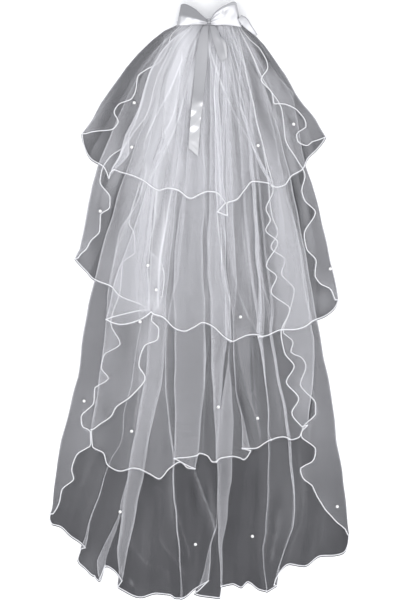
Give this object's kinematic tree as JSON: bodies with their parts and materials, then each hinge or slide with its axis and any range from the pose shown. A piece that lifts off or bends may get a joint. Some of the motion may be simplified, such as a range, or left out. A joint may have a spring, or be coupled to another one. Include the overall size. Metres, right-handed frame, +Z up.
{
  "type": "bridal veil",
  "caption": "Tiered bridal veil of soft plain tulle with a satin corded edge, a comb and a satin bow with loose tails, laid flat.",
  "frame": {"origin": "on the surface it lies on, under the middle of its bounding box", "axes": "+Z up from the surface, +Y along the veil toward the bow, +X to the right with the bow away from the viewer"},
  "size_m": [0.7505, 1.4959, 0.0425],
  "materials": {
    "tulle": "fine matt net, see-through where it is one ply",
    "white_satin": "smooth satin with a soft sheen",
    "clear_plastic": "clear gloss",
    "pearl": "pearl gloss"
  },
  "bodies": {
    "root": {"tier_1": "tulle", "tier_2": "tulle", "tier_3": "tulle", "tier_4": "tulle", "gather_band": "tulle", "edging_1": "white_satin", "edging_2": "white_satin", "edging_3": "white_satin", "edging_4": "white_satin", "bow_loop_left": "white_satin", "bow_loop_right": "white_satin", "bow_knot": "white_satin", "bow_tail_long": "white_satin", "bow_tail_short": "white_satin", "bow_end_side": "white_satin", "comb": "clear_plastic", "pearl_01": "pearl", "pearl_02": "pearl", "pearl_03": "pearl", "pearl_04": "pearl", "pearl_05": "pearl", "pearl_06": "pearl", "pearl_07": "pearl", "pearl_08": "pearl", "pearl_09": "pearl", "pearl_10": "pearl", "pearl_11": "pearl", "pearl_12": "pearl", "pearl_13": "pearl", "pearl_14": "pearl", "pearl_15": "pearl", "pearl_16": "pearl", "pearl_17": "pearl", "pearl_18": "pearl"}
  },
  "joints": []
}
